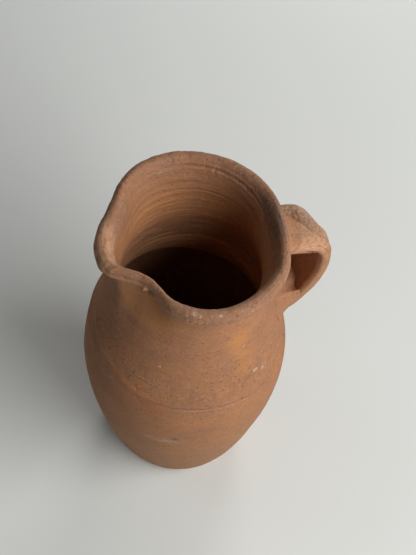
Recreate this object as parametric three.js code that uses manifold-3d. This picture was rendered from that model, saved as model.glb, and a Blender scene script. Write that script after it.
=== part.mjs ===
// Unglazed terracotta pitcher: thrown in two sections, with a pulled strap handle luted on.
// Millimetres. Origin: centre of the flat wire-cut foot. +Z up, +X towards the handle, and the
// spout points towards -X.

import * as THREE from "three";
import { mergeVertices } from "three/addons/utils/BufferGeometryUtils.js";
import Module from "manifold-3d";

const wasm = await Module();
wasm.setup();

// Driving dimensions
const HEIGHT = 248;
const MOUTH_RADIUS = 60; // outside of the lip, where it is round
const LIP_WIDTH = 8.3;
const SPOUT_DEPTH = 58; // how far down the neck the pinching of the spout reaches
const SEAM_HEIGHT = 142; // where the neck section sits on the lower body
const SEAM_TILT = 6.5; // the seam runs higher under the spout and lower under the handle
const GAP = 0.3; // room left between touching pieces of clay
const STRAP_WIDTH = 32;
const STRAP_THICKNESS = 9;
const PAD_WIDTH = 17; // the thumb pad covers the far half of the strap's top
const PAD_OFFSET = 8.2;
const AROUND = 60; // facets round the body

const rad = THREE.MathUtils.degToRad;

// The mouth seen from above: angle from the handle in degrees, outside radius of the lip.
const MOUTH_OUTLINE = [
  [-170, 60.0],
  [-161, 57.6],
  [-153, 51.8],
  [-144, 47.0],
  [-136, 45.4],
  [-127, 47.2],
  [-115, 53.4],
  [-101, 58.2],
  [-82, 61.0],
  [-56, 61.0],
  [-34, 60.2],
  [-16, 56.9],
  [4, 55.4],
  [22, 57.4],
  [50, 60.1],
  [75, 61.8],
  [99, 62.3],
  [118, 61.3],
  [132, 58.6],
  [145, 55.4],
  [157, 55.0],
  [168, 57.0],
  [180, 59.6],
];

// Outside of the wall: radius, height.
const OUTSIDE = [
  [46.6, 0],
  [48.4, 1.4],
  [50.2, 5],
  [53.5, 15],
  [58.4, 35],
  [63.3, 60],
  [67.3, 87],
  [68.7, 114],
  [67.6, 130],
  [65.5, 142],
  [62.6, 155],
  [59.2, 169],
  [56.2, 182],
  [53.4, 194],
  [51.1, 206],
  [50.2, 217],
  [51, 226],
  [53.4, 232.5],
];

// The rolled lip, from its underside over the top to the arris inside the mouth.
const LIP = [
  [57.2, 235],
  [59.4, 238.6],
  [60, 242.4],
  [59.2, 245.8],
  [57.2, 247.7],
  [55, 248],
  [53, 246.6],
  [51.7, 243.8],
];

// Inside of the wall: radius, height.
const NECK_INSIDE = [
  [53.4, 150],
  [52.2, 155],
  [50, 164],
  [47.4, 178],
  [45.4, 195],
  [44.8, 210],
  [45.6, 222],
  [47.8, 232],
  [50.2, 239.5],
];
const BODY_INSIDE = [
  [36, 8.4],
  [42.6, 12.5],
  [47.6, 22],
  [52.4, 38],
  [57.2, 60],
  [61.2, 87],
  [62.5, 112],
  [61.4, 130],
  [59.4, 140],
];
const FLOOR_THICKNESS = 8;

// Middle line of the strap, seen from the side: distance from the axis, height.
const STRAP_LINE = [
  [50, 236.3],
  [60, 236.8],
  [67, 236.3],
  [73, 234.2],
  [76.6, 229],
  [78, 220.5],
  [78, 209.5],
  [75.8, 198],
  [72, 187],
  [66.6, 176.5],
  [60, 167],
  [51.5, 157.5],
];
const STRAP_TWIST = 8; // degrees: the far edge dips over the top, and the lower end is level

// A smooth curve through pairs of numbers, read as second = f(first).
function smooth(pairs, x) {
  const last = pairs.length - 1;
  if (x <= pairs[0][0]) return pairs[0][1];
  if (x >= pairs[last][0]) return pairs[last][1];
  let i = 0;
  while (pairs[i + 1][0] < x) i += 1;
  const slope = (a, b) => (b[1] - a[1]) / (b[0] - a[0]);
  const here = slope(pairs[i], pairs[i + 1]);
  const before = i > 0 ? (slope(pairs[i - 1], pairs[i]) + here) / 2 : here;
  const after = i + 2 <= last ? (here + slope(pairs[i + 1], pairs[i + 2])) / 2 : here;
  const h = pairs[i + 1][0] - pairs[i][0];
  const t = (x - pairs[i][0]) / h;
  const t2 = t * t;
  const t3 = t2 * t;
  return (
    (2 * t3 - 3 * t2 + 1) * pairs[i][1] +
    (t3 - 2 * t2 + t) * h * before +
    (3 * t2 - 2 * t3) * pairs[i + 1][1] +
    (t3 - t2) * h * after
  );
}

const heightFirst = (outline) => outline.map(([r, z]) => [z, r]);
const outsideAt = (z) => smooth(heightFirst(OUTSIDE), z);

// The mouth outline, repeated past both ends so that it closes smoothly.
const mouthRing = [
  ...MOUTH_OUTLINE.slice(-3).map(([a, r]) => [a - 360, r]),
  ...MOUTH_OUTLINE,
  ...MOUTH_OUTLINE.slice(0, 3).map(([a, r]) => [a + 360, r]),
];
const mouthAt = (phi) => smooth(mouthRing, THREE.MathUtils.radToDeg(phi));

// How much of the mouth's shape reaches a height: all of it at the lip, none far down the neck.
function pinch(z) {
  const t = THREE.MathUtils.clamp((z - (HEIGHT - SPOUT_DEPTH)) / (SPOUT_DEPTH - 8), 0, 1);
  return (t * t * (3 - 2 * t)) ** 1.25;
}

// The lip is squeezed thin on the near side of the spout and flattened out in its channel.
function lipWidth(phi) {
  const a = THREE.MathUtils.radToDeg(phi);
  const thin = Math.exp(-(((a + 130) / 18) ** 2));
  const spout = Math.exp(-(((Math.abs(a) - 174) / 14) ** 2));
  return LIP_WIDTH - 4.0 * thin + 1.6 * spout;
}

const seamAt = (phi) => SEAM_HEIGHT - SEAM_TILT * Math.cos(phi + rad(6));

// A point of the body: profile radius and height, pushed in or out by the shape of the mouth.
function outer(r, z, phi) {
  return [r + (mouthAt(phi) - MOUTH_RADIUS) * pinch(z), z];
}
function inner(r, z, phi) {
  const near = THREE.MathUtils.clamp((z - 218) / 24, 0, 1);
  const widen = (LIP_WIDTH - lipWidth(phi)) * near;
  return [r + (mouthAt(phi) - MOUTH_RADIUS) * pinch(z) + widen, z];
}

// A closed three.js geometry as a manifold-3d solid, facing out.
function solid(geometry) {
  geometry.deleteAttribute("normal");
  geometry.deleteAttribute("uv");
  const merged = mergeVertices(geometry, 1e-4);
  const faces = new Uint32Array(merged.index.array);
  const make = () =>
    new wasm.Manifold(
      new wasm.Mesh({
        numProp: 3,
        vertProperties: merged.attributes.position.array,
        triVerts: faces,
      }),
    );
  const made = make();
  if (made.volume() > 0) return made;
  for (let i = 0; i < faces.length; i += 3) {
    [faces[i + 1], faces[i + 2]] = [faces[i + 2], faces[i + 1]];
  }
  return make();
}

function mesh(name, made, colour) {
  const data = made.getMesh();
  const geometry = new THREE.BufferGeometry();
  geometry.setAttribute("position", new THREE.BufferAttribute(data.vertProperties, 3));
  geometry.setIndex(new THREE.BufferAttribute(data.triVerts, 1));
  geometry.computeVertexNormals();
  const material = new THREE.MeshStandardMaterial({ color: colour, roughness: 0.85 });
  const piece = new THREE.Mesh(geometry, material);
  piece.name = name;
  return piece;
}

// Rings of points joined into one closed surface. Each ring has the same number of points; the
// loop of rings closes on itself, or its two ends are capped.
function skin(rings, capped) {
  const positions = [];
  const index = [];
  const n = rings[0].length;
  rings.forEach((ring) => ring.forEach((p) => positions.push(p.x, p.y, p.z)));
  const count = capped ? rings.length - 1 : rings.length;
  for (let i = 0; i < count; i += 1) {
    const a = i * n;
    const b = ((i + 1) % rings.length) * n;
    for (let j = 0; j < n; j += 1) {
      const k = (j + 1) % n;
      index.push(a + j, a + k, b + k, a + j, b + k, b + j);
    }
  }
  if (capped) {
    [0, rings.length - 1].forEach((r) => {
      const middle = new THREE.Vector3();
      rings[r].forEach((p) => middle.addScaledVector(p, 1 / n));
      positions.push(middle.x, middle.y, middle.z);
      const hub = positions.length / 3 - 1;
      for (let j = 0; j < n; j += 1) {
        const k = (j + 1) % n;
        if (r === 0) index.push(hub, r * n + k, r * n + j);
        else index.push(hub, r * n + j, r * n + k);
      }
    });
  }
  const geometry = new THREE.BufferGeometry();
  geometry.setAttribute("position", new THREE.Float32BufferAttribute(positions, 3));
  geometry.setIndex(index);
  return geometry;
}

// Turned clay: the profile at each angle is a list of [radius, height] from profileAt(phi).
function turned(profileAt, capped) {
  const columns = [];
  for (let j = 0; j < AROUND; j += 1) {
    const phi = (j / AROUND) * 2 * Math.PI - Math.PI;
    columns.push(
      profileAt(phi).map(([r, z]) => new THREE.Vector3(r * Math.cos(phi), r * Math.sin(phi), z)),
    );
  }
  const rings = columns[0].map((_, i) => columns.map((column) => column[i]));
  return solid(skin(rings, capped));
}

const steps = (from, to, count) =>
  Array.from({ length: count + 1 }, (_, i) => from + ((to - from) * i) / count);

// Lower body: flat foot, belly, and the bevelled top edge that carries the neck section.
function lowerBodyProfile(phi) {
  const seam = seamAt(phi);
  const outside = [
    ...OUTSIDE.slice(0, 3),
    ...steps(15, seam - GAP / 2, 9).map((z) => [outsideAt(z), z]),
  ];
  const insideTop = seam + 4;
  const inside = [];
  steps(insideTop, 22, 8).forEach((z) => {
    const level = 22 + ((z - 22) * (144 - 22)) / (insideTop - 22);
    inside.push([smooth(heightFirst(BODY_INSIDE), level), z]);
  });
  inside[0][0] = 58.2;
  return [...outside, ...inside, [42.6, 12.5], [36, 8.8], [18, FLOOR_THICKNESS]];
}

// Neck section: its lower edge overhangs the belly inside; its mouth carries the lip and spout.
function neckProfile(phi) {
  const seam = seamAt(phi);
  const shifted = (z) => z + (seam - SEAM_HEIGHT) * THREE.MathUtils.clamp((190 - z) / 48, 0, 1);
  const outside = [
    [outsideAt(seam) + 0.5, seam + GAP / 2],
    [outsideAt(seam + 1.6) + 0.7, seam + 1.6],
  ];
  steps(SEAM_HEIGHT + 5, 226, 8).forEach((level) => {
    const z = shifted(level);
    outside.push(outer(outsideAt(z), z, phi));
  });
  outside.push(outer(53.4, 232.5, phi));
  const lip = LIP.map(([r, z], i) => (i > 3 ? inner(r, z, phi) : outer(r, z, phi)));
  const inside = [...NECK_INSIDE].reverse().map(([r, z]) => inner(r, shifted(z), phi));
  return [...outside, ...lip, ...inside, [54.6, seam + 5.8], [58, seam + 4 + GAP]];
}

// The whole body as one full lump, grown by a margin: it trims what is luted onto it.
function fullBody(margin) {
  return turned((phi) => {
    const outside = [
      [outsideAt(100) + margin, 100],
      ...steps(112, 226, 16).map((z) => {
        const seam = z > seamAt(phi) - 1 && z < seamAt(phi) + 4 ? 0.7 : 0;
        const [r] = outer(outsideAt(z), z, phi);
        return [r + seam + margin, z];
      }),
      [outer(53.4, 232.5, phi)[0] + margin, 232.5],
    ];
    const lip = LIP.slice(0, 4).map(([r, z]) => [outer(r, z, phi)[0] + margin, z]);
    return [...outside, ...lip, [outer(57.2, 248, phi)[0] + margin, 250]];
  }, true);
}

const strapCurve = new THREE.CatmullRomCurve3(
  STRAP_LINE.map(([x, z]) => new THREE.Vector3(x, 0, z)),
  false,
  "centripetal",
);

// The strap's middle, its outward direction and its crosswise direction at a share of its length.
function strapFrame(share) {
  const at = strapCurve.getPointAt(share);
  const along = strapCurve.getTangentAt(share);
  const out = new THREE.Vector3(-along.z, 0, along.x);
  const across = new THREE.Vector3(0, 1, 0);
  const level = THREE.MathUtils.smoothstep(share, 0.3, 0.75);
  const turn = rad(STRAP_TWIST) * (1 - level);
  const side = across.clone().multiplyScalar(Math.cos(turn)).addScaledVector(out, -Math.sin(turn));
  const face = out.clone().multiplyScalar(Math.cos(turn)).addScaledVector(across, Math.sin(turn));
  return { at, side, face };
}

// One flattened, slightly domed section of the strap, grown by a margin.
function strapSection(share, margin) {
  const { at, side, face } = strapFrame(share);
  const half = (STRAP_WIDTH - 3 * share) / 2 + margin;
  const thick = STRAP_THICKNESS / 2 + margin;
  const ring = [];
  for (let k = 0; k < 20; k += 1) {
    const a = (k / 20) * 2 * Math.PI;
    const c = Math.cos(a);
    const s = Math.sin(a);
    const across = half * Math.sign(c) * Math.abs(c) ** 0.62;
    const deep = thick * Math.sign(s) * Math.abs(s) ** 0.72;
    const dome = 0.9 * (1 - (across / half) ** 2) - 0.3;
    ring.push(at.clone().addScaledVector(face, deep + dome).addScaledVector(side, across));
  }
  return ring;
}

function strapLump(margin) {
  return solid(skin(steps(0, 1, 40).map((share) => strapSection(share, margin)), true));
}

// Wet clay worked round one end of the strap: thick where it meets the wall, feathered out
// along the strap. The three shares are inside the wall, at the wall, and at the thin end.
function collar(inside, wall, end, spread, feather) {
  const root = steps(inside, wall, 2).map((share) => strapSection(share, feather + spread));
  const out = steps(0, 1, 8).slice(1);
  const rest = out.map((t) => {
    return strapSection(wall + (end - wall) * t, feather + spread * (1 - t) ** 1.7);
  });
  return solid(skin([...root, ...rest], true));
}

// A strip of clay pressed on along the far edge of the strap, from the lip over the top bend.
function wad(from, to) {
  const rings = steps(0, 1, 12).map((t) => {
    const share = from + (to - from) * t;
    const { at, side, face } = strapFrame(share);
    const swell = Math.sqrt(Math.max(1 - (2 * t - 1) ** 4, 0.06));
    const ring = [];
    for (let k = 0; k < 18; k += 1) {
      const a = (k / 18) * 2 * Math.PI;
      const across = PAD_OFFSET + (PAD_WIDTH / 2) * swell * Math.cos(a);
      const up = 4.2 + 2.3 * swell * Math.sin(a);
      ring.push(at.clone().addScaledVector(face, up).addScaledVector(side, across));
    }
    return ring;
  });
  return solid(skin(rings, true));
}

// Where along the strap its middle line goes into the wall of the body.
function lowerWallShare() {
  const shares = steps(0.7, 1, 60);
  return shares.find((share) => {
    const p = strapCurve.getPointAt(share);
    return p.x < outsideAt(p.z);
  });
}

const clearBody = fullBody(GAP);
const clearStrap = strapLump(GAP);

const lowerBody = turned(lowerBodyProfile, true);
const neckSection = turned(neckProfile, false);
const strap = strapLump(0).subtract(clearBody);
const lowWall = lowerWallShare();
const upperCollar = collar(0.02, 0.075, 0.17, 2.4, 0.9);
const lowerCollar = collar(0.998, lowWall, lowWall - 0.12, 3.6, 0.9);
const upperLuting = upperCollar.subtract(clearStrap).subtract(clearBody);
const lowerLuting = lowerCollar.subtract(clearStrap).subtract(clearBody);
const clearLuting = collar(0.015, 0.075, 0.173, 2.4, 0.9 + GAP);
const pad = wad(0.05, 0.43).subtract(clearStrap).subtract(clearBody).subtract(clearLuting);

// The largest of the pieces a cut leaves.
function main(made) {
  return made.decompose().reduce((a, b) => (a.volume() > b.volume() ? a : b));
}

const pitcher = new THREE.Group();
pitcher.name = "pitcher";
pitcher.add(mesh("lower_body", lowerBody, 0xb07a55));
pitcher.add(mesh("neck_section", neckSection, 0xb57f59));
pitcher.add(mesh("handle_strap", main(strap), 0xb57f59));
pitcher.add(mesh("upper_luting", main(upperLuting), 0xb8886a));
pitcher.add(mesh("lower_luting", main(lowerLuting), 0xb8886a));
pitcher.add(mesh("thumb_pad", main(pad), 0xbb9880));

export default pitcher;
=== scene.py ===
"""Unglazed terracotta pitcher: hand-thrown body in two sections, rolled lip pinched into a spout,
pulled strap handle luted on, and a wad of rough clay pressed over the strap's top."""

import math

import bpy
import numpy as np
from mathutils import Matrix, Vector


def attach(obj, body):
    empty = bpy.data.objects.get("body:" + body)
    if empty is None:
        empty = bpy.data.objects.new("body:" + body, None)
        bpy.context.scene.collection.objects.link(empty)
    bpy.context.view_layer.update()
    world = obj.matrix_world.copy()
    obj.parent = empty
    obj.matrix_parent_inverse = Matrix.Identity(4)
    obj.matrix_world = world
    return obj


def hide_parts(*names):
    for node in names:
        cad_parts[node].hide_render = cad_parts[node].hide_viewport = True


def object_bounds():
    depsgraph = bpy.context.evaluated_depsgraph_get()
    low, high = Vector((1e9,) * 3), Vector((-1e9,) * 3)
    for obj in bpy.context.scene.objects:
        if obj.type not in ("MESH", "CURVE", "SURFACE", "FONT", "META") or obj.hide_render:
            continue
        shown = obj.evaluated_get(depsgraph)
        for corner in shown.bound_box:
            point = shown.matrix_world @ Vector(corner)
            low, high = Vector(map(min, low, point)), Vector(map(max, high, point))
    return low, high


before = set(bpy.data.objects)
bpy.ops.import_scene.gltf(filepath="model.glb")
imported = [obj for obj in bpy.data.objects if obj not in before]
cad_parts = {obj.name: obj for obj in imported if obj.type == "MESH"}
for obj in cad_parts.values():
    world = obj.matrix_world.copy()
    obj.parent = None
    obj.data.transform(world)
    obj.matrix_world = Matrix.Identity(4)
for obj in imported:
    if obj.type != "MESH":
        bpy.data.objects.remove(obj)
cad_low, cad_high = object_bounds()

MM = 0.001
HEIGHT = (cad_high.z - cad_low.z) / MM
MOUTH_RADIUS = 60.0
LIP_WIDTH = 8.3
SPOUT_DEPTH = 58.0
SEAM_HEIGHT = 142.0
SEAM_TILT = 6.5
SEAM_TURN = math.radians(6)
SEAM_LEAN = (6.46, 0.68)  # the tilt shared out over x and y, for the shaders
CREST = (56.0, 248.0)  # radius and height of the lip's top
LAP_RADIUS = 58.2  # where the neck section sits inside the lower body's edge
STRAP_WIDTH = 32.0
STRAP_THICKNESS = 9.0
STRAP_TWIST = math.radians(8)
RING_CLIMB = 4.0

# ---------------------------------------------------------------- clay texture in space


class Clay:
    """Repeatable gradient noise over points in space: the unevenness of hand-worked clay."""

    def __init__(self, seed):
        draw = np.random.default_rng(seed)
        self.order = draw.permutation(256)
        steps = draw.normal(size=(256, 3))
        self.slopes = steps / np.linalg.norm(steps, axis=1)[:, None]

    def corner(self, cell, offset, step):
        """What one corner of each cell adds to the noise inside it."""
        i = (cell + step) & 255
        pick = self.order[(self.order[(self.order[i[..., 0]] + i[..., 1]) & 255] + i[..., 2]) & 255]
        return (self.slopes[pick] * (offset - step)).sum(-1)

    def __call__(self, x, y, z, size=1.0):
        """Between about -1 and 1; one lump is about size across."""
        p = np.stack(np.broadcast_arrays(x, y, z), -1) / size
        cell = np.floor(p).astype(np.int64)
        offset = p - cell
        smooth = offset**3 * (offset * (offset * 6 - 15) + 10)
        total = 0.0
        for step in np.ndindex(2, 2, 2):
            step = np.array(step)
            share = np.where(step == 1, smooth, 1 - smooth).prod(-1)
            total = total + share * self.corner(cell, offset, step)
        return total * 1.5

    def rough(self, x, y, z, size, layers=3):
        """Several sizes of lump on each other."""
        total, strength = 0.0, 1.0
        for _ in range(layers):
            total = total + strength * self(x + 17.3 * strength, y, z, size)
            size, strength = size / 2.1, strength * 0.5
        return total


body_clay = Clay(11)
ring_clay = Clay(23)
strap_clay = Clay(37)
pad_clay = Clay(51)


def bump(x, middle, width):
    """A soft hill of height 1."""
    return np.exp(-(((x - middle) / width) ** 2))


def ease(x, low, high):
    """From 0 at low to 1 at high, smoothly."""
    t = np.clip((x - low) / (high - low), 0, 1)
    return t * t * (3 - 2 * t)


def turn_from(phi, angle):
    """How far round phi is from an angle in degrees, in degrees, the short way."""
    return (np.degrees(phi) - angle + 180) % 360 - 180


# ---------------------------------------------------------------- the thrown shape

# The mouth seen from above: angle from the handle in degrees, outside radius of the lip.
MOUTH_OUTLINE = [
    (-170, 60.0),
    (-161, 57.6),
    (-153, 51.8),
    (-144, 47.0),
    (-136, 45.4),
    (-127, 47.2),
    (-115, 53.4),
    (-101, 58.2),
    (-82, 61.0),
    (-56, 61.0),
    (-34, 60.2),
    (-16, 56.9),
    (4, 55.4),
    (22, 57.4),
    (50, 60.1),
    (75, 61.8),
    (99, 62.3),
    (118, 61.3),
    (132, 58.6),
    (145, 55.4),
    (157, 55.0),
    (168, 57.0),
    (180, 59.6),
]

# Outside of the wall: radius, height.
OUTSIDE = [
    (46.6, 0),
    (48.4, 1.4),
    (50.2, 5),
    (53.5, 15),
    (58.4, 35),
    (63.3, 60),
    (67.3, 87),
    (68.7, 114),
    (67.6, 130),
    (65.5, 142),
    (62.6, 155),
    (59.2, 169),
    (56.2, 182),
    (53.4, 194),
    (51.1, 206),
    (50.2, 217),
    (51.0, 226),
    (53.4, 232.5),
]

# The rolled lip, from its underside over the top to the arris inside the mouth.
LIP = [
    (56.6, 235.4),
    (59.1, 238.6),
    (60, 242.2),
    (59.4, 245.4),
    (57.6, 247.4),
    (55.2, 248),
    (53.2, 247),
    (52.0, 245),
    (51.4, 243.2),
]

NECK_INSIDE = [
    (53.4, 150),
    (52.2, 155),
    (50, 164),
    (47.4, 178),
    (45.4, 195),
    (44.8, 210),
    (45.6, 222),
    (47.6, 232),
    (49.7, 239.2),
]
BODY_INSIDE = [
    (36, 8.4),
    (42.6, 12.5),
    (47.6, 22),
    (52.4, 38),
    (57.2, 60),
    (61.2, 87),
    (62.5, 112),
    (61.4, 130),
    (59.4, 140),
]

# Middle line of the strap seen from the side: distance from the axis, height.
STRAP_LINE = [
    (50, 236.3),
    (60, 236.8),
    (67, 236.3),
    (73, 234.2),
    (76.6, 229),
    (78, 220.5),
    (78, 209.5),
    (75.8, 198),
    (72, 187),
    (66.6, 176.5),
    (60, 167),
    (51.5, 157.5),
]


def fair(knots, values, x):
    """A smooth curve through the values at the knots, read at x."""
    knots, values = np.asarray(knots, float), np.asarray(values, float)
    x = np.clip(x, knots[0], knots[-1])
    slope = np.diff(values) / np.diff(knots)
    lean = np.concatenate([slope[:1], (slope[1:] + slope[:-1]) / 2, slope[-1:]])
    i = np.clip(np.searchsorted(knots, x, side="right") - 1, 0, len(knots) - 2)
    h = knots[i + 1] - knots[i]
    t = (x - knots[i]) / h
    return (
        (2 * t**3 - 3 * t**2 + 1) * values[i]
        + (t**3 - 2 * t**2 + t) * h * lean[i]
        + (3 * t**2 - 2 * t**3) * values[i + 1]
        + (t**3 - t**2) * h * lean[i + 1]
    )


def fair_line(points, count):
    """A smooth line through points of a section, as count points evenly along it."""
    points = np.asarray(points, float)
    along = np.concatenate([[0], np.cumsum(np.linalg.norm(np.diff(points, axis=0), axis=1))])
    fine = np.linspace(0, along[-1], count * 8)
    line = np.stack([fair(along, points[:, k], fine) for k in range(points.shape[1])], -1)
    length = np.concatenate([[0], np.cumsum(np.linalg.norm(np.diff(line, axis=0), axis=1))])
    even = np.linspace(0, length[-1], count)
    return np.stack([np.interp(even, length, line[:, k]) for k in range(points.shape[1])], -1)


def by_height(outline, z):
    """The radius of an outline at a height."""
    return fair([p[1] for p in outline], [p[0] for p in outline], z)


def outside_at(z):
    return by_height(OUTSIDE, z)


def mouth_at(phi):
    """Outside radius of the lip at an angle, the outline joined up round the back."""
    angles = [a for a, _ in MOUTH_OUTLINE]
    radii = [r for _, r in MOUTH_OUTLINE]
    angles = [a - 360 for a in angles[-3:]] + angles + [a + 360 for a in angles[:3]]
    radii = radii[-3:] + radii + radii[:3]
    return fair(angles, radii, np.degrees(phi))


def pinch(z):
    """How much of the mouth's shape reaches a height."""
    t = np.clip((z - (HEIGHT - SPOUT_DEPTH)) / (SPOUT_DEPTH - 8), 0, 1)
    return (t * t * (3 - 2 * t)) ** 1.25


def lip_width(phi):
    """Thinner where the near side was pinched, a little wider at the tip of the spout."""
    thin = bump(turn_from(phi, -130), 0, 18)
    spout = bump(turn_from(phi, 180), 0, 15)
    return LIP_WIDTH - 4.0 * thin + 1.6 * spout


def seam_at(phi):
    """Height of the seam between the two sections, which isn't level."""
    return SEAM_HEIGHT - SEAM_TILT * np.cos(phi + SEAM_TURN)


def shifted(z, phi):
    """Heights near the seam follow its tilt."""
    return z + (seam_at(phi) - SEAM_HEIGHT) * np.clip((190 - z) / 48, 0, 1)


# ---------------------------------------------------------------- marks left in the surface


def round_the_wheel(phi, z, size, around=0.8):
    """Unevenness drawn out round the pot, as the wheel leaves it; it climbs a little each turn."""
    level = z + RING_CLIMB * phi / (2 * math.pi)
    return ring_clay(np.cos(phi) * around, np.sin(phi) * around, level / size)


def wall_marks(phi, z):
    """Outside of the wall: broad unevenness, finger rings and fine drag lines."""
    x, y = 60 * np.cos(phi), 60 * np.sin(phi)
    upper = ease(z, 150, 175) * (1 - ease(z, 222, 232))
    broad = 0.42 * body_clay(x, y, z, 62) + 0.26 * body_clay(x, y, z, 22)
    rings = (0.17 + 0.12 * upper) * round_the_wheel(phi, z, 6.5)
    fine = 0.09 * round_the_wheel(phi, z, 2.1, 1.4)
    grit = 0.06 * body_clay(x, y, z, 2.6)
    return broad + rings + fine + grit


def seam_marks(phi, z):
    """The lapped edge of the neck section, and two lines the smoothing tool left above it."""
    gap = z - seam_at(phi)
    strength = 0.5 + 0.5 * body_clay(40 * np.cos(phi), 40 * np.sin(phi), 3.0, 16)
    crisp = ease(turn_from(phi, -75), -27, -12) * (1 - ease(turn_from(phi, -75), 22, 32))
    ledge = 0.6 * bump(gap, -0.9, 1.0) - 0.45 * bump(gap, 1.2, 0.9)
    ridge = np.clip(strength, 0.15, 0.95) * crisp * ledge + bump(gap, 3, 8) * 0.35
    left = ease(turn_from(phi, -150), -45, -12) * (1 - ease(turn_from(phi, -150), 22, 32))
    climbing = seam_at(phi) + np.clip(-turn_from(phi, -127), 0, 60) * 0.33
    scored = -0.5 * bump(z - climbing, -4.2, 3.4) + 0.8 * bump(z - climbing, 2.0, 3.4)
    upper_line = 158.3 - turn_from(phi, -116.5) * 0.28
    near = bump(turn_from(phi, -130), 0, 19)
    nick = (0.26 * bump(z - upper_line, 1.3, 1.1) - 0.3 * bump(z - upper_line, -0.4, 0.9)) * near
    return ridge + scored * left + nick


def spout_marks(phi, z):
    """The spout: its pressed edge on the near side, the burr that edge ends in, the crease behind
    the burr, and the wall drawn in below."""
    edge = ease(turn_from(phi, -166), -9, 3) * (1 - ease(turn_from(phi, -134), -2, 2.5))
    flange = edge * (1.5 * bump(z, 242.2, 0.9) - 1.6 * bump(z, 239.2, 2.0))
    across = turn_from(phi, -138)
    burr = 2.3 * bump(across, 0, 1.7) * bump(z, 241, 1.9)
    on = ease(across, 0, 2.5) * (1 - ease(across, 8, 12))
    level = 240.4 - 0.28 * across
    crease = on * (2.1 * bump(z, level, 0.8) - 1.3 * bump(z, level + 2.3, 1.0))
    crease = crease - on * 1.2 * bump(z, level - 2.2, 1.2)
    filled = bump(turn_from(phi, -112), 0, 12) * bump(z, 233.5, 4.2) * 1.1
    fold = 0.4 * bump(turn_from(phi, -161), 0, 6) - 0.45 * bump(turn_from(phi, -149), 0, 7)
    drawn = -2.2 * bump(turn_from(phi, 155), 0, 22) * bump(z, 170, 22)
    return flange + burr + crease + filled + drawn + fold * bump(z, 210, 22)


def lip_marks(phi, z):
    """Unevenness, chips and drag lines of the lip, and the groove under its front."""
    x, y = 60 * np.cos(phi), 60 * np.sin(phi)
    on = ease(z, 234, 240)
    wobble = 0.38 * body_clay(x, y, 9.0, 26) + 0.26 * body_clay(x, y, z, 8)
    chipped = -0.5 * ease(body_clay(x, y, z, 5.5), 0.42, 0.75)
    dragged = 0.16 * round_the_wheel(phi, z, 1.5, 1.2)
    undercut = -0.9 * bump(z, 236.2, 1.7) * bump(turn_from(phi, -76), 0, 46) * (z < 240)
    return undercut + on * (wobble + chipped + dragged + 0.2 * body_clay(x, y, z, 2.4))


def inside_marks(phi, z):
    """Finger rings inside the mouth and belly, tighter low in the neck."""
    x, y = 50 * np.cos(phi), 50 * np.sin(phi)
    below_lip = 1 - ease(z, 234, 243)
    tight = 0.42 + 0.7 * bump(z, 178, 24)
    rings = tight * round_the_wheel(phi, z, 4.2, 0.9) + 0.25 * round_the_wheel(phi, z, 11, 0.7)
    fine = 0.24 * round_the_wheel(phi, z, 1.9, 1.3)
    pit = -0.9 * bump(turn_from(phi, 105.3), 0, 1.4) * bump(z, 188.8, 1.1)
    worn = 0.45 + 0.55 * bump(turn_from(phi, 35), 0, 62)
    edge = 0.55 * bump(z, 243.2, 0.8) - 0.5 * bump(z, 241.4, 0.9) + 0.3 * bump(z, 239.6, 0.9)
    return below_lip * (rings + fine + pit + 0.3 * body_clay(x, y, z, 45)) + worn * edge


# ---------------------------------------------------------------- making meshes


def add_piece(name, points, quads, material, ends=()):
    """A closed mesh from a grid of points in millimetres, with its quads and end fans."""
    mesh = bpy.data.meshes.new(name)
    faces = [tuple(q) for q in quads]
    for cap in ends:
        faces.extend(tuple(t) for t in cap)
    mesh.from_pydata([tuple(p) for p in (points * MM).tolist()], [], faces)
    mesh.validate()
    mesh.update()
    piece = bpy.data.objects.new(name, mesh)
    bpy.context.scene.collection.objects.link(piece)
    for face in mesh.polygons:
        face.use_smooth = True
    mesh.materials.append(material)
    return piece


def loop_quads(rows, columns, closed_rows):
    """Quads of a grid whose columns close on themselves; its rows may close too."""
    i = np.arange(rows if closed_rows else rows - 1)[:, None]
    j = np.arange(columns)[None, :]
    below, above = i * columns, ((i + 1) % rows) * columns
    right = (j + 1) % columns
    return np.stack([below + j, below + right, above + right, above + j], -1).reshape(-1, 4)


def fan(first, hub, columns, outward):
    """Triangles from one ring of points, starting at first, to a hub in its middle."""
    j = np.arange(columns)
    right = (j + 1) % columns
    sides = (first + right, first + j) if outward else (first + j, first + right)
    return np.stack([np.full(columns, hub), *sides], -1).tolist()


def grid_normals(points, closed_rows):
    """Outward normals of a grid of points whose columns close on themselves."""
    if closed_rows:
        up = np.roll(points, -1, 0) - np.roll(points, 1, 0)
    else:
        up = np.gradient(points, axis=0)
    across = np.roll(points, -1, 1) - np.roll(points, 1, 1)
    n = np.cross(across, up)
    tiny = 1e-9
    return n / np.maximum(np.linalg.norm(n, axis=-1, keepdims=True), tiny)


def capped(name, points, material):
    """Clay from a grid of points whose columns close on themselves, with a fan over each end."""
    rows, columns = points.shape[:2]
    count = rows * columns
    hubs = [points[0].mean(0), points[-1].mean(0)]
    flat = np.vstack([points.reshape(-1, 3), hubs])
    ends = [fan(0, count, columns, True), fan(count - columns, count + 1, columns, False)]
    return add_piece(name, flat, loop_quads(rows, columns, False), material, ends)


def turned(name, radius, height, push, columns, material, closed_rows):
    """Turned clay from radius and height grids, each row one level, pushed out by push."""
    phi = np.linspace(-math.pi, math.pi, columns, endpoint=False)[None, :]
    points = np.stack([radius * np.cos(phi), radius * np.sin(phi), height], -1)
    points = points + grid_normals(points, closed_rows) * push[..., None]
    if closed_rows:
        quads = loop_quads(len(points), columns, True)
        return add_piece(name, points.reshape(-1, 3), quads, material)
    return capped(name, points, material)


# ---------------------------------------------------------------- shader nodes


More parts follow.
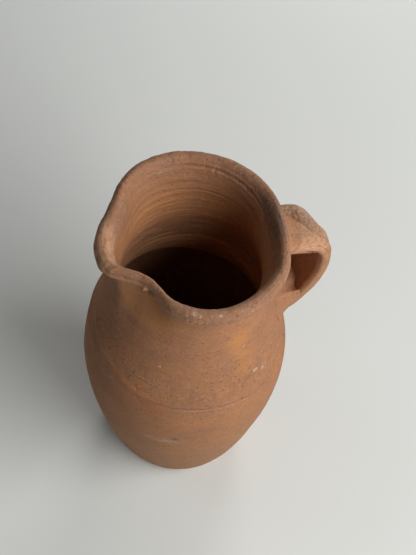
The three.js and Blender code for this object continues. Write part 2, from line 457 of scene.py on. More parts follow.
class Socket:
    """A shader socket that can be used in ordinary sums."""

    def __init__(self, shader, link):
        self.shader, self.link = shader, link

    def _math(self, operation, *values):
        return self.shader.node("ShaderNodeMath", {"operation": operation}, *values)

    def __add__(self, other):
        return self._math("ADD", self, other)

    def __sub__(self, other):
        return self._math("SUBTRACT", self, other)

    def __rsub__(self, other):
        return self._math("SUBTRACT", other, self)

    def __mul__(self, other):
        return self._math("MULTIPLY", self, other)

    __radd__ = __add__
    __rmul__ = __mul__

    def between(self, low, high):
        """0 below low, 1 above high, smooth in between."""
        kind = {"interpolation_type": "SMOOTHSTEP"}
        return self.shader.node("ShaderNodeMapRange", kind, self, low, high)

    def near(self, middle, width):
        """1 at middle, falling to 0 a width away on both sides."""
        away = self._math("ABSOLUTE", self - middle)
        return 1 - away.between(0, width)


class Shader:
    """One material's nodes."""

    def __init__(self, name):
        self.material = bpy.data.materials.new(name)
        self.material.use_nodes = True
        self.tree = self.material.node_tree
        self.clay = self.tree.nodes["Principled BSDF"]
        self.place = self.node("ShaderNodeTexCoord", {}, out="Object")

    def feed(self, slot, value):
        """A link or a plain value into one input."""
        if isinstance(value, Socket):
            self.tree.links.new(value.link, slot)
        else:
            slot.default_value = value

    def node(self, kind, settings, *values, out=0, **named):
        """Any node: its type, its settings, then values or links for its inputs; None is left."""
        made = self.tree.nodes.new(kind)
        for key, value in settings.items():
            setattr(made, key, value)
        for slot, value in [*enumerate(values), *named.items()]:
            if value is not None:
                self.feed(made.inputs[slot], value)
        return Socket(self, made.outputs[out])

    def finish(self, values):
        """Values or links for the inputs of the material itself."""
        for slot, value in values.items():
            self.feed(self.clay.inputs[slot], value)
        return self.material

    def mix(self, share, first, second):
        """Colour first, going to colour second as share goes from 0 to 1."""
        ends = [c if isinstance(c, Socket) else (*c, 1) for c in (first, second)]
        before_colours = [None] * 5
        kind = {"data_type": "RGBA", "clamp_factor": True}
        return self.node("ShaderNodeMix", kind, share, *before_colours, *ends, out=2)

    def vector(self, operation, *values, out=0, **named):
        """One operation on whole vectors."""
        kind = {"operation": operation}
        return self.node("ShaderNodeVectorMath", kind, *values, out=out, **named)

    def parts(self, vector):
        """The three parts of a vector."""
        made = self.node("ShaderNodeSeparateXYZ", {}, vector).link.node
        return [Socket(self, part) for part in made.outputs]

    def moved(self, *shift):
        """The place, moved in metres, so that noise read there is another stretch of it."""
        return self.vector("ADD", self.place, shift)

    def noise(self, size, detail=3.0, roughness=0.55, at=None, distortion=0.0):
        """Noise whose lumps are about size millimetres across, from 0 to 1."""
        return self.node(
            "ShaderNodeTexNoise",
            {},
            Vector=at or self.place,
            Scale=1 / (size * MM),
            Detail=detail,
            Roughness=roughness,
            Distortion=distortion,
        )

    def spots(self, size, seed=0.0):
        """Distance from the middle of scattered grains, and each grain's own random number."""
        cells = {"Vector": self.moved(seed, seed * 0.7, seed * 0.3), "Scale": 1 / (size * MM)}
        distance = self.node("ShaderNodeTexVoronoi", {}, out="Distance", **cells)
        own = self.node("ShaderNodeTexVoronoi", {}, out="Color", **cells)
        return distance, self.node("ShaderNodeSeparateColor", {}, own, out=0)

    def grains(self, size, share, width, seed=0.0):
        """1 in a share of scattered grains, 0 elsewhere."""
        distance, own = self.spots(size, seed)
        return (1 - distance.between(width * 0.6, width)) * own.between(1 - share, 1.001 - share)

    def near_point(self, point, radius):
        """1 at a point on the pot given in millimetres, 0 a radius away."""
        spot = tuple(c * MM for c in point)
        away = self.vector("DISTANCE", self.place, spot, out="Value")
        return 1 - away.between(radius * 0.35 * MM, radius * MM)


# ---------------------------------------------------------------- terracotta

# Colours of the clay, as linear red, green and blue.
WARM = (0.385, 0.165, 0.068)
BROWN = (0.290, 0.130, 0.062)
ROSY = (0.345, 0.172, 0.098)
ORANGE = (0.400, 0.150, 0.055)
BRIGHT_ORANGE = (0.46, 0.20, 0.068)
PALE = (0.430, 0.265, 0.172)
GREY = (0.270, 0.175, 0.135)
ASH = (0.560, 0.450, 0.360)
DARK = (0.090, 0.052, 0.036)
SOOT = (0.13, 0.10, 0.095)
DUSTY = (0.335, 0.188, 0.092)
PLUM = (0.265, 0.128, 0.085)
# Painted shade for the lip's inner slope by the handle.
PAINTED_LIP_SHADE = (0.125, 0.07, 0.048)
# Painted shade under the lip's front, reddish.
PAINTED_UNDER_LIP_SHADE = (0.24, 0.072, 0.04)
SAND = (0.47, 0.25, 0.14)
SLIP = (0.47, 0.255, 0.145)
RUBBED_SLIP = (0.80, 0.47, 0.29)
COARSE_CLAY = (0.50, 0.30, 0.185)
WORN_CLAY = (0.43, 0.33, 0.25)
CHALK = (0.66, 0.52, 0.42)
TAN = (0.55, 0.33, 0.21)
NICK = (0.19, 0.098, 0.068)
LIGHT_FLECK = (0.45, 0.21, 0.098)
DARK_FLECK = (0.2, 0.09, 0.048)
DRAGGED = (0.43, 0.29, 0.21)
# Painted highlight along the seam's edge, and painted shadow above it.
PAINTED_SEAM_HIGHLIGHT = (0.58, 0.35, 0.22)
PAINTED_SEAM_SHADOW = (0.19, 0.088, 0.05)
# Painted light for the inside of the neck, low and high.
PAINTED_LIGHT_INSIDE_LOW_NECK = (0.60, 0.29, 0.135)
PAINTED_LIGHT_INSIDE_UPPER_NECK = (0.47, 0.21, 0.078)
# Painted light for the lip beside the spout.
PAINTED_SPOUT_LIGHT = (0.52, 0.29, 0.165)

# Single marks: a point and a radius in mm, the colour and how strong it is.
MARKS = [
    ((-17.1, -66.1, 101.8), 3.9, SOOT, 0.95),
    ((-14.6, -66.6, 99.6), 2.8, SOOT, 0.7),
    ((25.3, -48.4, 188.4), 2.2, PALE, 0.8),
    ((35.5, -50.7, 157.6), 2.6, ASH, 0.9),
    ((41.2, -47.7, 152.9), 2.2, ASH, 0.8),
    ((43.4, -46.4, 155.6), 3.8, PALE, 0.7),
    ((-26.7, -50.0, 179.4), 1.4, ASH, 0.7),
    ((-9.5, -55.1, 247.8), 1.8, ASH, 0.75),
    ((-6.4, -57.1, 247.0), 1.3, ASH, 0.7),
    ((4.8, -58.2, 247.3), 1.3, ASH, 0.7),
    ((54.7, -18.4, 175.1), 1.4, ASH, 0.8),
    ((65.5, -10.6, 182.0), 4.5, PALE, 0.6),
]
# Orange patches: a point and a radius in mm.
NECK_PATCHES = [((21, -50, 196), 13), ((27, -51, 183), 14), ((29, -54, 166), 11)]
SEAM_PATCHES = [((-50, -44, 150), 12), ((-42, -52, 146), 13), ((-31, -60, 141), 12)]


class Terracotta(Shader):
    """Fired red earthenware, unglazed; each coat of colour goes over the ones before it."""

    def __init__(self, name, wad):
        super().__init__(name)
        x, y, z = self.parts(self.place)
        flat = self.node("ShaderNodeCombineXYZ", {}, x, y, 0.0)
        self.level = z * (1 / MM)
        self.heading = self.vector("NORMALIZE", flat)
        self.reach = self.vector("LENGTH", flat, out="Value")
        self.clouds = self.noise(12, 4, 0.65, distortion=0.6)
        self.mottle = self.noise(3.2, 3, 0.6)
        self.dust = self.noise(0.9, 2, 0.6)
        self.streaks = self.drawn_round(2.6, 0.9, 4)
        self.threads = self.drawn_round(0.8, 1.6, 3)
        self.bloom = self.clouds.between(0.5, 0.72) * self.mottle.between(0.42, 0.66)
        self.coarse = self.level.near(156, 24) * self.noise(26, 3).between(0.34, 0.56)
        self.grit = self.grains(2.9, 0.4, 0.34, 2.6)
        self.pits = self.grains(3.1, 0.36, 0.27, 1.7) * (1 - 0.75 * wad)
        self.colour = WARM

    def drawn_round(self, size, around, detail=3.0):
        """Noise drawn out round the pot in bands about size millimetres high."""
        scaled = self.vector("SCALE", self.heading, Scale=around)
        stack = self.node("ShaderNodeCombineXYZ", {}, 0.0, 0.0, self.level * (1 / size))
        at = self.vector("ADD", scaled, stack)
        inputs = {"Vector": at, "Scale": 1.0, "Detail": detail, "Roughness": 0.6}
        return self.node("ShaderNodeTexNoise", {}, **inputs)

    def coat(self, share, tint):
        self.colour = self.mix(share, self.colour, tint)

    def patch(self, point, radius, low, high, strength, tint):
        """A patch of colour, broken up by the clouds."""
        share = self.near_point(point, radius) * self.clouds.between(low, high)
        self.coat(share * strength, tint)

    def fired_clay(self):
        """What the whole pot shares: blotches, bands from the wheel, a dusty foot."""
        self.coat(self.noise(34, 4, 0.6).between(0.35, 0.68), BROWN)
        self.coat(self.drawn_round(9, 0.5).between(0.45, 0.72) * 0.55, ROSY)
        self.coat(self.streaks.between(0.5, 0.78) * 0.4, BROWN)
        self.coat(self.clouds.between(0.52, 0.8) * 0.42, ROSY)
        foot = 1 - self.level.between(50, 115)
        self.coat(foot * (0.35 + self.clouds * 0.55), DUSTY)
        plum = self.noise(19, 3, 0.6, at=self.moved(0.3, 0.1, 0.2))
        self.coat(plum.between(0.56, 0.74) * 0.45, PLUM)

    def salt_bloom(self, extra):
        """Pale bloom, thickest along the seam."""
        at_seam = self.level.near(146, 15) * 0.35
        self.coat(self.bloom * (0.16 + at_seam + extra), PALE)

    def coarse_wad(self):
        """The wad's paler clay, worn where the thumb rests."""
        self.coat(0.5, COARSE_CLAY)
        self.coat(self.mottle.between(0.5, 0.66) * 0.5, ASH)
        self.patch((66, 6, 242), 15, 0.3, 0.55, 0.6, WORN_CLAY)
        self.coat(self.grains(1.7, 0.4, 0.34, 4.3) * 0.75, CHALK)
        self.coat(self.clouds.between(0.55, 0.8) * 0.35, GREY)

    def finger_slip(self, smeared):
        """Lighter slip left by the fingers, brightest at the strap's top."""
        self.coat(0.5 * smeared, SLIP)
        self.coat(self.near_point((65, -9, 242), 21) * 0.5 * smeared, RUBBED_SLIP)

    def lip_wear_and_shade(self):
        """Scuffs, grains and nicks round the mouth; painted shade on the lip's inner slope by the
        handle, and red painted shade under the lip's front.
        """
        band = self.level.between(235.5, 240)
        # Painted shade: the lip's inner slope by the handle is darkened as if out of the light.
        handle_side_shade = self.near_point((50, 6, 243), 29) * self.level.between(238, 242)
        self.coat(handle_side_shade * (0.75 + self.clouds * 0.4), PAINTED_LIP_SHADE)
        scuffed = self.noise(5.5, 4, 0.7).between(0.38, 0.62)
        self.coat(band * (0.08 + scuffed * 0.36), GREY)
        self.coat(band * self.mottle.between(0.5, 0.72) * 0.5, PALE)
        outside = self.reach.between(53.5 * MM, 55.5 * MM)
        # Painted shade under the front of the lip, reddish, broken by noise.
        under = self.level.near(236.4, 3.4) * outside * self.noise(16, 3).between(0.36, 0.55)
        self.coat(under * 0.75, PAINTED_UNDER_LIP_SHADE)
        chalky = band * self.noise(22, 2).between(0.5, 0.66)
        self.coat(chalky * self.grains(2.2, 0.3, 0.3, 3.1) * 0.8, ASH)
        self.coat(band * self.grains(1.8, 0.3, 0.3, 5.7) * 0.6, DARK)
        self.coat(band * self.grains(2.0, 0.45, 0.36, 7.9) * 0.4, TAN)
        nicked = self.noise(2.6, 3, 0.6).between(0.56, 0.68)
        self.coat(band * nicked * 0.45, NICK)

    def speckle(self, wad):
        """Lime, grit, pits and flecks, strongest above the seam, then the finest unevenness."""
        lime = self.grains(3.8, 0.16, 0.17, 0.4) * self.mottle.between(0.35, 0.6)
        self.coat(lime * (0.34 + 0.35 * wad), ASH)
        self.coat(self.grit * (0.22 + self.coarse * 0.75 + 0.3 * wad), SAND)
        self.coat(self.pits * (0.3 + self.coarse * 0.5), DARK)
        fleck = self.noise(2.3, 2, 0.5)
        self.coat(fleck.between(0.56, 0.68) * (0.25 + self.coarse * 0.4), LIGHT_FLECK)
        self.coat((1 - fleck.between(0.34, 0.45)) * (0.3 + self.coarse * 0.3), DARK_FLECK)
        self.coat(self.dust.between(0.35, 0.7) * 0.22, PALE)
        self.coat(self.mottle.between(0.48, 0.7) * 0.45, BROWN)
        self.coat(self.noise(1.6, 2).between(0.45, 0.7) * 0.3, BROWN)
        self.coat((1 - self.threads.between(0.3, 0.55)) * 0.4, BROWN)

    def single_marks(self):
        """Spots, one dragged smear and orange patches, each at its own place."""
        for point, radius, tint, strength in MARKS:
            broken = self.near_point(point, radius) * self.noise(1.3, 2).between(0.3, 0.6)
            self.coat(broken * strength, tint)
        smear = self.level.near(97, 6.5) * self.near_point((-25, -62, 98), 19)
        self.coat(smear * self.mottle.between(0.35, 0.6) * 0.75, DRAGGED)
        for point, radius in NECK_PATCHES:
            self.patch(point, radius, 0.3, 0.6, 0.7, BRIGHT_ORANGE)
        for point, radius in SEAM_PATCHES:
            self.patch(point, radius, 0.25, 0.5, 0.5, ORANGE)

    def painted_seam_lines(self):
        """A painted highlight along the seam and a painted shadow above it, both broken by noise.
        """
        x, y, _ = self.parts(self.heading)
        gap = self.level - SEAM_HEIGHT + x * SEAM_LEAN[0] - y * SEAM_LEAN[1]
        broken = self.near_point((12, -65, 141), 34) * self.noise(4, 3).between(0.38, 0.58)
        # Painted highlight below the seam line, painted shadow just above it.
        self.coat(gap.near(-0.9, 1.0) * broken * 0.4, PAINTED_SEAM_HIGHLIGHT)
        self.coat(gap.near(1.1, 1.0) * broken * 0.4, PAINTED_SEAM_SHADOW)

    def mouth(self):
        """Painted light: brighter, redder colour inside the neck, low and high, where the lamps
        reach too little, and a painted pool of light on the lip beside the spout.
        """
        # Painted light inside the low neck, brightening the wall above the seam's inner edge.
        belly = (1 - self.reach.between(53.6 * MM, 54.8 * MM)) * self.level.near(160, 30)
        self.coat(belly * 0.75, PAINTED_LIGHT_INSIDE_LOW_NECK)
        # Painted light inside the upper neck.
        neck = (1 - self.reach.between(48 * MM, 50 * MM)) * self.level.near(212, 30)
        self.coat(neck * 0.45, PAINTED_LIGHT_INSIDE_UPPER_NECK)
        # Painted light on the lip beside the spout, broken by noise.
        broken_light = self.noise(4.5, 3, 0.6, at=self.moved(0.7, 0.2, 0.1)).between(0.3, 0.6)
        spout = self.near_point((-58, -2, 246), 24) * self.level.between(236, 240)
        self.coat(spout * 0.85 * broken_light, PAINTED_SPOUT_LIGHT)

    def relief(self, wad):
        """The finest relief, too small for the mesh."""
        height = (
            self.dust * 0.1
            + self.mottle * (0.3 + 0.3 * wad)
            + self.threads * 0.5
            + self.streaks * 0.6
            - self.pits * 0.4
            + self.grit * (0.1 + self.coarse * 0.2)
            + self.noise(1.7, 3, 0.7) * (0.2 + self.coarse * 0.45 + 0.5 * wad)
        )
        return self.node("ShaderNodeBump", {}, Strength=1.0, Distance=MM, Height=height)


def terracotta(name, wad=0, smeared=0.0, lip=False):
    """A clay material: wad is 1 for the coarse wad on the strap, smeared says how much slip the
    fingers left, lip adds the wear round the mouth and the painted shade on and under the lip."""
    clay = Terracotta(name, wad)
    clay.fired_clay()
    clay.salt_bloom(0.5 * wad + 0.25 * smeared)
    if wad:
        clay.coarse_wad()
    if smeared:
        clay.finger_slip(smeared)
    if lip:
        clay.lip_wear_and_shade()
    clay.speckle(wad)
    clay.single_marks()
    clay.painted_seam_lines()
    # mouth paints light inside the neck and on the lip beside the spout.
    clay.mouth()
    return clay.finish(
        {
            "Base Color": clay.colour,
            "Roughness": 0.93 - clay.mottle * 0.08 - clay.streaks * 0.06 - clay.bloom * 0.05,
            "Normal": clay.relief(wad),
            "Specular IOR Level": 0.32,
            "IOR": 1.45,
        }
    )


body_terracotta = terracotta("terracotta_belly")
neck_terracotta = terracotta("terracotta_neck", lip=True)
strap_terracotta = terracotta("terracotta_strap", smeared=0.9)
luting_terracotta = terracotta("terracotta_luting", smeared=0.2)
wad_terracotta = terracotta("terracotta_wad", wad=1)

# ---------------------------------------------------------------- lower body


def spread(start, stop, count, phi):
    """Levels from start to stop, either of which may change round the pot."""
    t = np.linspace(0, 1, count)[:, None]
    return start + (stop - start) * t + 0 * phi


def make_lower_body():
    """Foot, outside of the belly up to the seam, the ledge there, the inside and the floor."""
    columns = 420
    phi = np.linspace(-math.pi, math.pi, columns, endpoint=False)[None, :]
    seam = seam_at(phi)
    rows_r, rows_z, pushes = [], [], []

    def add(radius, height, push):
        shape = np.broadcast_shapes(radius.shape, height.shape, push.shape)
        rows_r.append(np.broadcast_to(radius, shape))
        rows_z.append(np.broadcast_to(height, shape))
        pushes.append(np.broadcast_to(push, shape))

    foot = np.array([2, 12, 24, 36, 43, 45.6])[:, None] + 0 * phi
    add(foot, 0 * foot, 0 * foot)
    z = spread(0.5, seam, 190, phi)
    worn = 0.35 * body_clay(50 * np.cos(phi), 50 * np.sin(phi), z, 7) * (1 - ease(z, 0, 7))
    chamfer = worn * ease(z, 0.4, 1.5)
    add(outside_at(z), z, wall_marks(phi, z) * ease(z, 1, 8) + seam_marks(phi, z) + chamfer)
    inner_top = seam + 4
    ledge = spread(outside_at(seam) - 1.5, LAP_RADIUS + 0.2, 5, phi)
    add(ledge, spread(seam + 0.6, inner_top, 5, phi), 0 * phi)
    floor_edge = 22
    z = spread(inner_top - 0.6, floor_edge, 90, phi)
    reference = floor_edge + (z - floor_edge) * (144 - floor_edge) / (inner_top - floor_edge)
    add(by_height(BODY_INSIDE, reference), z, -inside_marks(phi, z) * ease(inner_top - z, 0, 6))
    floor_line = fair_line([(47.6, 22), (42.6, 12.5), (36, 8.8), (18, 8), (1.5, 8)], 46)[1:]
    radius = floor_line[:, :1] + 0 * phi
    swirl = 0.25 * np.sin(radius * 0.9 + phi) * ease(radius, 2, 12)
    add(radius, floor_line[:, 1:] + swirl, 0 * phi)
    grids = [np.vstack(rows) for rows in (rows_r, rows_z, pushes)]
    return turned("lower_body_clay", *grids, columns, body_terracotta, False)


# ---------------------------------------------------------------- neck section


def make_neck_section():
    """A closed profile: up the outside, over the lip, down the inside and back under the lap."""
    columns = 560
    phi = np.linspace(-math.pi, math.pi, columns, endpoint=False)[None, :]
    seam = seam_at(phi)
    levels = np.linspace(SEAM_HEIGHT + 2, 228, 15)
    outline = [(float(outside_at(z)), z) for z in levels]
    outline += [OUTSIDE[-1], *LIP, *reversed(NECK_INSIDE)]
    line = fair_line(outline, 400)
    from_crest = np.abs(line[:, 1] - CREST[1]) + 0.2 * np.abs(line[:, 0] - CREST[0])
    top = int(np.argmin(from_crest))
    inward = (np.arange(len(line)) > top)[:, None]
    radius, level = line[:, :1], line[:, 1:]
    height = shifted(level, phi)
    hidden = inward & (level < 236)
    sloped = 3.3 * bump(turn_from(phi, 4), 0, 34)
    inner_share = np.clip((57.2 - radius) / 5.6, 0, 1) * ease(level, 234, 243)
    across_lip = np.where(level > 239, np.clip((MOUTH_RADIUS - radius) / 8.6, 0, 1), inward)
    widen = (LIP_WIDTH - lip_width(phi)) * np.clip((level - 218) / 24, 0, 1) * across_lip
    pinched = (mouth_at(phi) - MOUTH_RADIUS) * pinch(np.where(hidden, level, height))
    radius = radius + pinched + widen
    outer_push = wall_marks(phi, height) + seam_marks(phi, height) + spout_marks(phi, height)
    push = np.where(inward, inside_marks(phi, height), outer_push) + lip_marks(phi, height)
    height = height - sloped * inner_share
    under_r = [54.4 + 0 * phi, 56.2 + 0 * phi, LAP_RADIUS + 0 * phi]
    under_z = [seam + 6.0, seam + 5.0, seam + 4.2]
    join = np.linspace(0, 1, 5)[1:-1, None]
    face_r = LAP_RADIUS + (outside_at(seam) - LAP_RADIUS) * join
    face_z = (seam + 4.1) + (0.4 - 4.1) * join
    lap_z = [seam + 0.05, seam + 0.8]
    lap_r = [outside_at(z) + seam_marks(phi, z) + wall_marks(phi, z) for z in lap_z]
    rows_r = np.vstack([radius, *under_r, face_r, *lap_r])
    rows_z = np.vstack([height, *under_z, face_z, *lap_z])
    pushes = np.vstack([push, np.zeros((len(rows_r) - len(push), columns))])
    return turned("neck_section_clay", rows_r, rows_z, pushes, columns, neck_terracotta, True)


# ---------------------------------------------------------------- strap handle


def body_radius(phi, z):
    """Outside radius of the finished body near the handle."""
    outline = OUTSIDE + LIP[:6]
    rising = [(r, h + 0.001 * i) for i, (r, h) in enumerate(outline)]
    return by_height(rising, z) + (mouth_at(phi) - MOUTH_RADIUS) * pinch(z)


strap_path = fair_line([(x, 0, z) for x, z in STRAP_LINE], 241)
strap_length = np.linalg.norm(np.diff(strap_path, axis=0), axis=1).sum()


def strap_frame(share):
    """Middle, crosswise and outward directions of the strap at shares of its length."""
    share = np.asarray(share, float)
    place = share * (len(strap_path) - 1)
    step = np.arange(len(strap_path))
    middle = np.stack([np.interp(place, step, strap_path[:, k]) for k in range(3)], -1)
    slopes = np.gradient(strap_path, axis=0)
    along = np.stack([np.interp(place, step, slopes[:, k]) for k in range(3)], -1)
    along = along / np.linalg.norm(along, axis=-1, keepdims=True)
    out = np.stack([-along[..., 2], 0 * share, along[..., 0]], -1)
    across = np.stack([0 * share, 0 * share + 1, 0 * share], -1)
    turn = (STRAP_TWIST * (1 - ease(share, 0.3, 0.75)))[..., None]
    side = across * np.cos(turn) - out * np.sin(turn)
    face = out * np.cos(turn) + across * np.sin(turn)
    return middle, side, face


def drawn_in(share):
    """How much narrower the strap's far side is where the thumb bears on it."""
    return 6.0 * bump(share, 0.28, 0.08)


def pressed_down(share, across):
    """How far the strap's far side is pressed in at the bend."""
    return 0.55 * np.clip(across + 2, 0, None) * bump(share, 0.275, 0.085)


def strap_surface(share, angle, grow=0.0):
    """A point on the strap: share along it, angle round its section."""
    middle, side, face = strap_frame(share)
    half = (STRAP_WIDTH - 3 * share) / 2 + grow
    thick = STRAP_THICKNESS / 2 + grow
    c, s = np.cos(angle), np.sin(angle)
    half = half - drawn_in(share) * (c > 0)
    across = half * np.sign(c) * np.abs(c) ** 0.5
    deep = thick * np.sign(s) * np.abs(s) ** 0.6
    dome = 0.9 * (1 - (across / half) ** 2) - 0.3 - pressed_down(share, across)
    pulled = 0.28 * np.sin(across * 0.42 + 0.8) + 0.16 * np.sin(across * 1.05 + share * 3)
    x = share * 96
    lumps = 0.3 * strap_clay(x, across, deep, 16) + 0.12 * strap_clay(x, across, deep, 5)
    drag = 0.1 * strap_clay(share * 14, across, deep, 1.6)
    near_edge = -1.3 * bump(deep, 1.5, 0.8) * (c < 0) * (s > 0) * bump(share, 0.22, 0.1)
    relief = pulled * np.abs(s) + lumps + drag + near_edge
    sideways = side * (across + relief * c * 0.6)[..., None]
    return middle + sideways + face * (deep + dome + relief * s)[..., None]


def make_strap():
    """The pulled strap, its ends a little way into the wall."""
    angle = np.linspace(0, 2 * math.pi, 120, endpoint=False)[None, :]
    share = np.linspace(0.035, 0.93, 230)[:, None]
    points = strap_surface(share + 0 * angle, angle + 0 * share)
    return capped("handle_strap_clay", points, strap_terracotta)


# ---------------------------------------------------------------- luting


def outside_body(points):
    """How far points lie outside the body, in mm."""
    phi = np.arctan2(points[..., 1], points[..., 0])
    return np.hypot(points[..., 0], points[..., 1]) - body_radius(phi, points[..., 2])


def wall_crossing(angle, wall_low, wall_high):
    """The share at which each side of the strap goes into the wall."""
    low, high = np.full(angle.shape, wall_low), np.full(angle.shape, wall_high)
    outside_first = outside_body(strap_surface(low, angle)) > 0
    for _ in range(30):
        middle = (low + high) / 2
        outside = outside_body(strap_surface(middle, angle)) > 0
        same = outside == outside_first
        low, high = np.where(same, middle, low), np.where(same, high, middle)
    return (low + high) / 2


def on_body(points, sink):
    """Points moved radially on to the body, sunk by a depth."""
    phi = np.arctan2(points[..., 1], points[..., 0])
    radius = body_radius(phi, points[..., 2]) - sink
    return np.stack([radius * np.cos(phi), radius * np.sin(phi), points[..., 2]], -1)


def make_luting(name, towards, wall_from, wall_to, reach_strap, reach_wall, climb, full, seed):
    """Clay worked into the corner between strap and wall: a closed ring of fillet. It covers
    reach_strap along the strap and reach_wall out over the wall, plus climb up the wall; full
    says how far the fillet fills the corner."""
    columns, rows = 150, 26
    angle = np.linspace(0, 2 * math.pi, columns, endpoint=False)
    wall = wall_crossing(angle, wall_from, wall_to)
    uneven = 1 + 0.28 * Clay(seed)(np.cos(angle) * 2, np.sin(angle) * 2, 0.5)
    out_over_wall = reach_wall(angle) * uneven
    on_strap = wall + towards * reach_strap(angle) * uneven / strap_length
    corner = strap_surface(wall, angle)
    top = strap_surface(on_strap, angle, -0.22)
    middle, side, face = strap_frame(wall)
    outward = side * np.cos(angle)[:, None] + face * np.sin(angle)[:, None]
    rise = np.stack([0 * angle, 0 * angle, climb(angle)], -1)
    toe = on_body(corner + rise + outward * out_over_wall[:, None], 0.3)
    t = np.linspace(0, 1, rows)[:, None, None]
    knee = corner + full(angle)[:, None] * ((top + toe) / 2 - corner)
    skin = (1 - t) ** 2 * top + 2 * t * (1 - t) * knee + t**2 * toe
    swell = np.sin(math.pi * t[..., 0]) ** 0.8
    normal = outward / np.linalg.norm(outward, axis=-1, keepdims=True)
    x, y, z = skin[..., 0], skin[..., 1], skin[..., 2]
    fingered = 0.45 * strap_clay(x, y, z, 7) + 0.18 * strap_clay(x, y, z, 2.8)
    skin = skin + normal * (swell * (0.5 + fingered))[..., None]
    inner_strap = strap_surface(on_strap, angle, -1.6)
    inner_corner = strap_surface(wall, angle, -2.2)
    under_toe = corner + 0.94 * rise + outward * (out_over_wall * 0.92)[:, None]
    inner_toe = on_body(under_toe, 2.0)
    back = np.stack([inner_toe, on_body(inner_corner, 2.2), inner_strap])
    points = np.vstack([skin, back])
    quads = loop_quads(len(points), columns, True)
    if towards > 0:
        quads = quads[:, ::-1]
    return add_piece(name, points.reshape(-1, 3), quads, luting_terracotta)


def inner_side(angle):
    """1 round the strap's side that faces the body, 0 on its outer face."""
    return ease(-np.sin(angle), -0.25, 0.22)


# ---------------------------------------------------------------- thumb pad


def make_thumb_pad():
    """A strip of coarse clay along the far half of the strap's top, torn along its near edge."""
    along, across_count = 170, 100
    share = np.linspace(0.03, 0.37, along)[:, None]
    t = (share - share[0]) / (share[-1] - share[0])
    torn = [(0.03, 7.5), (0.09, 6.4), (0.12, 2.5), (0.15, -3.0), (0.19, -7.0), (0.24, -9.2)]
    torn += [(0.3, -8.0), (0.34, -4.0), (0.39, 2.0)]
    near = fair([p[0] for p in torn], [p[1] for p in torn], share)
    near = near + 0.9 * pad_clay(share * 110, 0.5, 0.5, 7) + 0.5 * pad_clay(share * 110, 3, 1, 2.4)
    far = 16.7 - drawn_in(share) - 2.0 * ease(share, 0.3, 0.37)
    far = far + 0.4 * pad_clay(share * 110, 9.5, 0.5, 8)
    v = np.linspace(0, 1, across_count)[None, :]
    across = near + (far - near) * v
    middle, side, face = strap_frame(share + 0 * v)
    half = (STRAP_WIDTH - 3 * share) / 2 - drawn_in(share) * (across > 0)
    edge = np.clip(np.abs(across) / half, 0, 1)
    strap_top = STRAP_THICKNESS / 2 * np.sqrt(np.clip(1 - edge**4, 0, 1)) ** 0.6
    strap_top = strap_top + 0.9 * (1 - edge**2) - 0.3 - pressed_down(share, across)
    level_top = 5.4 - 0.9 * ease(edge, 0.8, 1.0) - pressed_down(share, across)
    end = ease(t, 0, 0.06) * (1 - 0.88 * ease(t, 0.44, 0.64)) * (1 - ease(t, 0.86, 1))
    thin = 0.4 + 0.6 * ease(v, 0.0, 0.5)
    rise = 2.1 * thin * (0.12 + 0.88 * end)
    x, y = share * 110, across
    lumps = 0.42 * pad_clay.rough(x, y, 2.0, 5.5, 3) + 0.16 * pad_clay(x, y, 8.0, 1.6)
    rounding = np.sqrt(np.clip(1 - np.abs(2 * v - 1) ** 9, 0, 1))
    levelled = level_top * end + strap_top * (1 - end)
    base = np.where(v < 0.5, strap_top, np.maximum(strap_top, levelled))
    height = base - 0.5 + (rise + lumps * end + 0.5) * rounding
    top = middle + side * across[..., None] + face * height[..., None]
    low = np.minimum(strap_top - 1.4, height - 0.5)
    under = middle + side * (across * 0.985)[..., None] + face * low[..., None]
    ring = np.concatenate([top, under[:, ::-1]], axis=1)
    return capped("thumb_pad_clay", ring, wad_terracotta)


def face_outwards(piece):
    """Faces turned outward, checked by the mesh's signed volume."""
    mesh = piece.data
    mesh.calc_loop_triangles()
    co = np.array([v.co for v in mesh.vertices])
    tri = np.array([t.vertices for t in mesh.loop_triangles])
    a, b, c = co[tri[:, 0]], co[tri[:, 1]], co[tri[:, 2]]
    if (a * np.cross(b, c)).sum() < 0:
        mesh.flip_normals()
    return piece


lower_body = face_outwards(make_lower_body())
neck_section = face_outwards(make_neck_section())
strap = face_outwards(make_strap())
upper_luting = face_outwards(
    make_luting(
        "upper_luting_clay",
        1,
        0.02,
        0.2,
        lambda a: 6.0 + 2.0 * np.sin(a),
        lambda a: 3.2 + 2.4 * np.clip(np.sin(a), 0, 1),
        lambda a: 0 * a,
        lambda a: 0.15 + 0 * a,
        61,
    )
)
lower_luting = face_outwards(
    make_luting(
        "lower_luting_clay",
        -1,
        0.995,
        0.7,
        lambda a: 8 + 1.5 * np.sin(a) + 12 * inner_side(a),
        lambda a: 5.2 + 0.8 * np.sin(a) + 2.5 * np.clip(-np.cos(a), 0, 1),
        lambda a: 19 * inner_side(a),
        lambda a: 0.1 + 0.9 * inner_side(a),
        71,
    )
)
thumb_pad = face_outwards(make_thumb_pad())

for piece, node, slot in (
    (lower_body, "lower_body", "terracotta_body"),
    (neck_section, "neck_section", "terracotta_neck"),
    (strap, "handle_strap", "terracotta_strap"),
    (upper_luting, "upper_luting", "terracotta_luting"),
    (lower_luting, "lower_luting", "terracotta_luting"),
    (thumb_pad, "thumb_pad", "terracotta_rough"),
):
    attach(piece, "root")
    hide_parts(node)

# ---------------------------------------------------------------- floor, light and camera


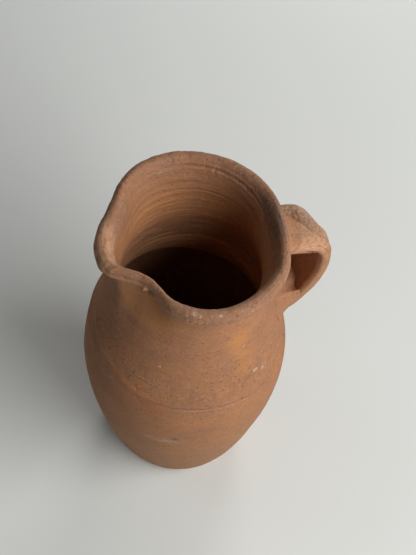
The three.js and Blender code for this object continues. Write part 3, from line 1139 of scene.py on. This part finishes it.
def make_floor():
    """A plain pale floor, a hair below the foot."""
    reach = 2.5
    hair = 0.0001
    mesh = bpy.data.meshes.new("studio_floor")
    corners = [(-reach, -reach, 0), (reach, -reach, 0), (reach, reach, 0), (-reach, reach, 0)]
    mesh.from_pydata(corners, [], [(0, 1, 2, 3)])
    floor = bpy.data.objects.new("studio_floor", mesh)
    bpy.context.scene.collection.objects.link(floor)
    floor.location.z = cad_low.z - hair
    s = Shader("studio_paper")
    tone = s.mix(s.noise(300, 2), (0.704, 0.720, 0.696), (0.722, 0.738, 0.714))
    paper = {"Base Color": tone, "Roughness": 0.8, "Specular IOR Level": 0.2}
    mesh.materials.append(s.finish(paper))


VIEW_TURN = math.radians(-16)  # from the camera's ground directions to the pitcher's own


def from_camera_ground(x, y, z):
    """A place given as right of, beyond and above the pitcher as the camera sees it, in mm."""
    c, s = math.cos(VIEW_TURN), math.sin(VIEW_TURN)
    return np.array([x * c - y * s, x * s + y * c, z])


def aim(position, target, up=(0, 0, 1)):
    """A matrix at position whose -Z axis points to target."""
    back = np.array(position, float) - np.array(target, float)
    back /= np.linalg.norm(back)
    right = np.cross(up, back)
    right /= np.linalg.norm(right)
    over = np.cross(back, right)
    matrix = Matrix.Identity(4)
    for i in range(3):
        matrix[i][0], matrix[i][1], matrix[i][2] = right[i], over[i], back[i]
        matrix[i][3] = position[i] * MM
    return matrix


MIDDLE = (0, 0, 100)
LAMP_DISTANCE = 1300
DAYLIGHT = (1.0, 0.995, 0.985)
WHITE = (1.0, 1.0, 1.0)


def add_light(name, place, size, power, colour):
    """A lamp of a size in metres at a place, turned to the pitcher's middle."""
    light = bpy.data.lights.new(name, "AREA")
    light.shape, light.size, light.size_y = "RECTANGLE", size[0], size[1]
    light.energy, light.color = power, colour
    lamp = bpy.data.objects.new(name, light)
    bpy.context.scene.collection.objects.link(lamp)
    lamp.matrix_world = aim(from_camera_ground(*place), from_camera_ground(*MIDDLE))


def lamp_place(turn, rise):
    """Where a lamp stands: degrees round from the camera's right, and degrees up."""
    turn, rise = math.radians(turn), math.radians(rise)
    flat = LAMP_DISTANCE * math.cos(rise)
    return flat * math.cos(turn), flat * math.sin(turn), LAMP_DISTANCE * math.sin(rise)


make_floor()
add_light("window", lamp_place(-24, 43), (1.15, 0.65), 14.3, DAYLIGHT)
add_light("window_top", lamp_place(-24, 57), (0.6, 0.15), 1.4, DAYLIGHT)
add_light("low_window", lamp_place(-57, 18), (0.5, 0.3), 3.7, WHITE)
add_light("far_window", lamp_place(80, 20), (0.5, 0.3), 6.8, WHITE)
add_light("back_wall", lamp_place(165, 30), (0.6, 0.5), 1.6, WHITE)

world = bpy.data.worlds.new("room")
world.use_nodes = True
background = world.node_tree.nodes["Background"]
background.inputs["Color"].default_value = (0.86, 0.87, 0.86, 1)
background.inputs["Strength"].default_value = 0.02
bpy.context.scene.world = world

CAMERA_PITCH = math.radians(58)
CAMERA_ROLL = math.radians(6.83)
SENSOR = 36.0  # width in mm, as is the lens
LENS = 71.351351
AIM_HEIGHT = 124.3
CAMERA_DISTANCE = 748.3
CAMERA_SHIFT = (15.44, 37.82)  # to the right of and above the line of sight
ahead = np.array([0, math.cos(CAMERA_PITCH), -math.sin(CAMERA_PITCH)])
level_right = np.array([1.0, 0, 0])
level_up = np.array([0, math.sin(CAMERA_PITCH), math.cos(CAMERA_PITCH)])
right = math.cos(CAMERA_ROLL) * level_right + math.sin(CAMERA_ROLL) * level_up
over = -math.sin(CAMERA_ROLL) * level_right + math.cos(CAMERA_ROLL) * level_up
eye = np.array([0, 0, AIM_HEIGHT]) - ahead * CAMERA_DISTANCE
eye = eye + right * CAMERA_SHIFT[0] + over * CAMERA_SHIFT[1]

camera_data = bpy.data.cameras.new("camera")
camera_data.sensor_width = SENSOR
camera_data.lens = LENS
camera_data.clip_start = 0.01
camera = bpy.data.objects.new("camera", camera_data)
bpy.context.scene.collection.objects.link(camera)
pose = Matrix.Identity(4)
for column, axis in enumerate((right, over, -ahead)):
    turned_axis = from_camera_ground(*axis)
    for i in range(3):
        pose[i][column] = turned_axis[i]
placed = from_camera_ground(*eye)
for i in range(3):
    pose[i][3] = placed[i] * MM
camera.matrix_world = pose
bpy.context.scene.camera = camera

bpy.context.scene.view_settings.view_transform = "Standard"
